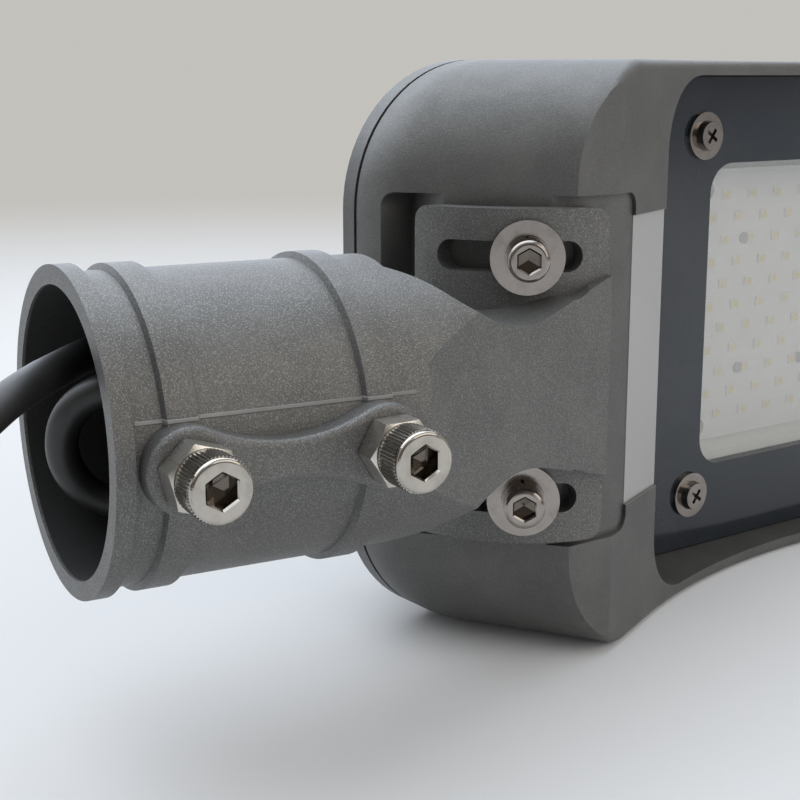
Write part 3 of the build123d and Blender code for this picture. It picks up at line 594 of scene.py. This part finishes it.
# clamp screws, with a knurl round their heads
for which in clampScrews["runs"]:
    screwMesh = socketScrew("clampScrew" + which.capitalize(), "steel", clampScrews)
    screwMesh.transform(facing(clampSpot(which, clampScrews["seat"]), outOfTube, upright))
    addPiece(screwMesh, "clamp_" + which, "steel", "clamp_screw_" + which)
    knurl = Layout("clampKnurl" + which.capitalize(), {
        "Ridges": clampScrews["ridges"], "Sides": clampScrews["ridgeSides"],
        "Radius": clampScrews["radius"], "Length": clampScrews["ridgeLength"],
        "Stand": clampScrews["ridgeStand"],
    })
    ring = knurl.add("GeometryNodeMeshCircle", Vertices=knurl.size("Ridges"), Radius=knurl.size("Radius"))
    ridge = knurl.add(
        "GeometryNodeMeshCylinder", Vertices=knurl.size("Sides"), Radius=knurl.size("Stand"),
        Depth=knurl.size("Length"),
    )
    spoke = knurl.add("GeometryNodeInputPosition")
    turn = knurl.add("FunctionNodeAlignRotationToVector", {"axis": "X", "pivot_axis": "Z"}, Vector=spoke)
    middleReach = clampScrews["seat"] + clampScrews["ridgeFrom"] + clampScrews["ridgeLength"] / 2
    knurlPlace = facing(clampSpot(which, middleReach), outOfTube, upright)
    knurl.make(knurl.spread(ring, ridge, "steel", Rotation=turn), knurlPlace, "clamp_" + which, "steel")
print("knurl on", len(clampScrews["runs"]), "clamp heads")

# lock nuts with their corners chamfered, in place of the plain prisms: metres and degrees
lockNuts = {
    "flats": 0.013, "tall": 0.0064, "base": 0.0386, "hole": 0.00405, "holeEdge": 0.0005,
    "chamfer": 30.0, "chamferFrom": 0.985, "steps": 72, "turns": {"near": 14.0, "far": 32.0},
}


def hexNut(name, finishName, sizes):
    half, tall, hole, edge = sizes["flats"] / 2, sizes["tall"], sizes["hole"], sizes["holeEdge"]
    ring = half * sizes["chamferFrom"]
    slope = math.tan(math.radians(sizes["chamfer"]))

    def profileAt(angle):
        reach = hexReach(half, angle)
        shed = (reach - ring) * slope
        return [
            (hole, edge), (hole + edge, 0.0), (ring, 0.0), (reach, shed),
            (reach, tall - shed), (ring, tall), (hole + edge, tall), (hole, tall - edge),
        ]

    return skinMesh(name, finishName, turnedRows(profileAt, sizes["steps"]), around=True)


for which in clampScrews["runs"]:
    nutMesh = hexNut("lockNut" + which.capitalize(), "nut", lockNuts)
    nutSide = Matrix.Rotation(math.radians(lockNuts["turns"][which]), 3, outOfTube) @ upright
    nutMesh.transform(facing(clampSpot(which, lockNuts["base"]), outOfTube, nutSide))
    addPiece(nutMesh, "clamp_" + which, "steel", "lock_nut_" + which)
print("lock nuts chamfered")

# chips on the light board, two staggered grids, with the board's dark screws between them
lightBoard = {
    "middle": (161.5, 24.38, 0), "narrow": 0.86, "bodyTall": 2.0, "phosphorWide": 0.74, "phosphorTall": 2.2,
    "sizes": {
        "Columns": 12, "Rows": 6, "Pitch X": 0.0122, "Pitch Z": 0.0142, "Chip": 0.0036, "Tall": 0.0007,
        "Screw Columns": 4, "Screw Rows": 2, "Screws X": 0.0915, "Screws Z": 0.0426,
        "Screw Sides": 20, "Screw Radius": 0.0019, "Screw Tall": 0.0014,
    },
}
chips = Layout("ledChipRows", lightBoard["sizes"])


def pointGrid(wide, high, columns, rows):
    return chips.add("GeometryNodeMeshGrid", Size_X=wide, Size_Y=high, Vertices_X=columns, Vertices_Y=rows)


def chipGrid(columns, rows):
    wide, high = chips.size("Pitch X") * (columns - 1), chips.size("Pitch Z") * (rows - 1)
    return pointGrid(wide, high, columns, rows)


def block(width, tall):
    size = chips.add("ShaderNodeCombineXYZ", X=width, Y=width * lightBoard["narrow"], Z=tall)
    return chips.add("GeometryNodeMeshCube", Size=size)


columns, rows = chips.size("Columns"), chips.size("Rows")
staggered = chips.add(
    "GeometryNodeJoinGeometry", Geometry=[chipGrid(columns, rows), chipGrid(columns - 1, rows - 1)],
)
chipWide, chipTall = chips.size("Chip"), chips.size("Tall")
chipBody = block(chipWide, chipTall * lightBoard["bodyTall"])
phosphor = block(chipWide * lightBoard["phosphorWide"], chipTall * lightBoard["phosphorTall"])
screwGrid = pointGrid(
    chips.size("Screws X"), chips.size("Screws Z"), chips.size("Screw Columns"), chips.size("Screw Rows"),
)
screwHead = chips.add(
    "GeometryNodeMeshCylinder", Vertices=chips.size("Screw Sides"), Radius=chips.size("Screw Radius"),
    Depth=chips.size("Screw Tall"),
)
allChips = chips.add("GeometryNodeJoinGeometry", Geometry=[
    chips.spread(staggered, chipBody, "chipBody"),
    chips.spread(staggered, phosphor, "phosphor"),
    chips.spread(screwGrid, screwHead, "grey"),
])
chipPlace = facing(headSpot(*lightBoard["middle"]), Vector((0, -1, 0)), Vector((1, 0, 0)))
chipPiece = chips.make(allChips, chipPlace, "head", "led", "led_chips")
print("light board has", len(chipPiece.data.polygons), "faces of chips")

# pivot screws with rounded heads and a hex socket, in place of the plain ones
pivotWeb = bmesh.new()
for side in (-1, 1):
    screwMesh = socketScrew("pivotScrew", "stainless", pivotScrews)
    screwMesh.transform(facing(pivotSpot(side, pivotScrews["seat"]), pivotOut, upright))
    pivotWeb.from_mesh(screwMesh)
    bpy.data.meshes.remove(screwMesh)
pivotMesh = bpy.data.meshes.new("pivotScrewHeads")
pivotWeb.to_mesh(pivotMesh)
pivotWeb.free()
pivotMesh.materials.append(looks["stainless"])
addPiece(pivotMesh, "head", "stainless", "pivot_screws")
print("pivot screws in place")

# a fine parting line along the tube, over its collars, paler as a painted highlight: height, runs and radii
# in millimetres
partingLine = {
    "height": 8.0, "wide": 0.0007, "crestShare": 0.4, "stand": 0.0002, "sunk": 0.0003,
    "profile": [
        (4.8, 33.2), (10.2, 33.2), (10.9, 34.6), (17.2, 34.6), (17.9, 33.2),
        (53.2, 33.2), (53.9, 34.6), (59.6, 34.6), (60.3, 33.2), (66.0, 33.2),
    ],
}
lineRows = []
for run, radius in partingLine["profile"]:
    foot = tubeSpot(run, -math.sqrt(radius**2 - partingLine["height"] ** 2), partingLine["height"])
    outward = (foot - tubeSpot(run, 0, 0)).normalized()
    wide = outward.cross(alongTube).normalized() * partingLine["wide"]
    narrow = wide * partingLine["crestShare"]
    root, crest = foot - outward * partingLine["sunk"], foot + outward * partingLine["stand"]
    lineRows.append([root - wide, crest - narrow, crest + narrow, root + wide])
addPiece(skinMesh("partingLine", "ridgeHighlight", lineRows, capped=True), "bracket", "cast")
print("parting line drawn")

# what is seen of the room: gloss sees it darken towards the front and brighten at the back windows
room = {
    "seen": (0.55, 0.535, 0.505, 1), "lit": (0.46, 0.46, 0.46, 1), "front": (0.17, 0.15, 0.135, 1),
    "windows": (1.9, 2.05, 2.3, 1), "towards": (0.25, 0.72, 0.65), "frontSpan": (-0.35, 0.3),
    "windowsSpan": (0.45, 0.85),
}
# pale table that runs on to the horizon
table = {
    "colour": (0.86, 0.865, 0.88, 1), "second": (0.88, 0.885, 0.9, 1),
    "cloudScale": 2.0, "cloudSpan": (0.3, 0.7), "rough": 0.7, "specular": 0.12,
    "half": 60.0, "drop": 0.0002, "fadeSpan": (0.35, 1.6),
}
tableFinish = Finish("paleTable")
tableCloud = tableFinish.patches([table["cloudScale"]], table["cloudSpan"])
tableFinish.feed(
    Base_Color=tableFinish.tint(tableCloud, table["colour"], table["second"]), Roughness=table["rough"],
    Specular_IOR_Level=table["specular"],
)
# far off, the camera sees the table fade into the room
cameraShare = tableFinish.add("ShaderNodeLightPath")
tableReach = tableFinish.vector("LENGTH", tableFinish.place, out=1)
tableFade = tableFinish.ease(tableReach, *table["fadeSpan"]) * cameraShare
tableGlow = tableFinish.add("ShaderNodeEmission", Color=room["seen"], Strength=1.0)
tableTop = Sock(tableFinish.tree, tableFinish.shader.outputs[0])
tableBoth = tableFinish.add("ShaderNodeMixShader", i0=tableFade, i1=tableTop, i2=tableGlow)
tableOut = next(n for n in tableFinish.tree.nodes if n.type == "OUTPUT_MATERIAL")
tableFinish.tree.links.new(tableBoth.out, tableOut.inputs[0])
half, drop = table["half"], table["drop"]
corners = [(-half, -half, -drop), (half, -half, -drop), (half, half, -drop), (-half, half, -drop)]
floorMesh = bpy.data.meshes.new("floor")
floorMesh.from_pydata(corners, [], [(0, 1, 2, 3)])
floorMesh.materials.append(tableFinish.material)
linkPiece(floorMesh)

# soft light: a cool window overhead, a warm room in front
lights = {
    "window": {
        "at": (-0.4, 0.45, 1.4), "aim": (-0.15, 0.0, 0.05),
        "size": 2.2, "power": 20.0, "tint": (0.84, 0.92, 1.0),
    },
    "room": {
        "at": (0.5, -1.4, 0.9), "aim": (0.0, 0.0, 0.07),
        "size": 1.4, "power": 9.0, "tint": (1.0, 0.95, 0.88),
    },
}
for name, setup in lights.items():
    lightData = bpy.data.lights.new(name, "AREA")
    lightData.shape = "SQUARE"
    lightData.size = setup["size"]
    lightData.energy = setup["power"]
    lightData.color = setup["tint"]
    light = bpy.data.objects.new(name, lightData)
    light.location = setup["at"]
    light.rotation_euler = (Vector(setup["aim"]) - Vector(setup["at"])).to_track_quat("-Z", "Y").to_euler()
    bpy.context.collection.objects.link(light)

# the camera and clear pieces see a pale room, gloss sees its shades, and the rest is lit evenly
world = bpy.data.worlds.new("paleRoom")
bpy.context.scene.world = world
world.use_nodes = True
sky = Web(world.node_tree)
rays = sky.tree.nodes.new("ShaderNodeLightPath")
rayNames = ("Is Camera Ray", "Is Glossy Ray", "Is Transmission Ray")
cameraRay, glossyRay, clearRay = (Sock(sky.tree, rays.outputs[name]) for name in rayNames)
facingWay = sky.vector("DOT_PRODUCT", sky.add("ShaderNodeTexCoord"), room["towards"], out=1)
shiny = sky.tint(sky.ease(facingWay, *room["frontSpan"]), room["front"], room["seen"])
shiny = sky.tint(sky.ease(facingWay, *room["windowsSpan"]), shiny, room["windows"])
sight = sky.tint((cameraRay + clearRay).maths("MINIMUM", 1.0), room["lit"], room["seen"])
sight = sky.tint(glossyRay, sight, shiny)
background = next(n for n in sky.tree.nodes if n.type == "BACKGROUND")
sky.tree.links.new(sight.out, background.inputs["Color"])
background.inputs["Strength"].default_value = 1.0
print("stage lit")
